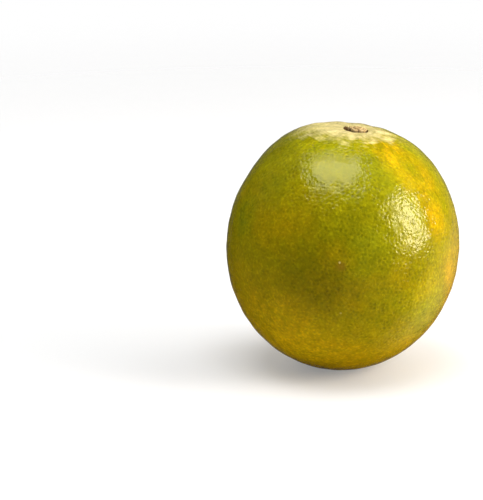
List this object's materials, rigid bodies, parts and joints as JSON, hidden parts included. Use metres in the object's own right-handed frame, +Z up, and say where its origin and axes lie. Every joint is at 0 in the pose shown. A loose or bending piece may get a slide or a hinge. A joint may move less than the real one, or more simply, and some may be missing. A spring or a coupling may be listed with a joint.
{
  "type": "pera orange",
  "caption": "Whole pera orange turning from green to orange, a little taller than wide, standing on a small flat spot with the dry calyx button in its stem end",
  "frame": {"origin": "Centre of the small flat spot that the fruit rests on", "axes": "+Z is up, and the fruit's longest way. The picture looks along +Y, with +X to its right. The core leans 5.7 degrees from +Z towards +X at the stem end"},
  "size_m": [0.0676, 0.0677, 0.0712],
  "materials": {
    "orange_peel": "waxy peel with a soft gloss, pitted by oil glands",
    "dry_calyx": "dry, matt and fibrous"
  },
  "bodies": {
    "root": {"fruit": "orange_peel", "calyx_button": "dry_calyx"}
  },
  "joints": []
}
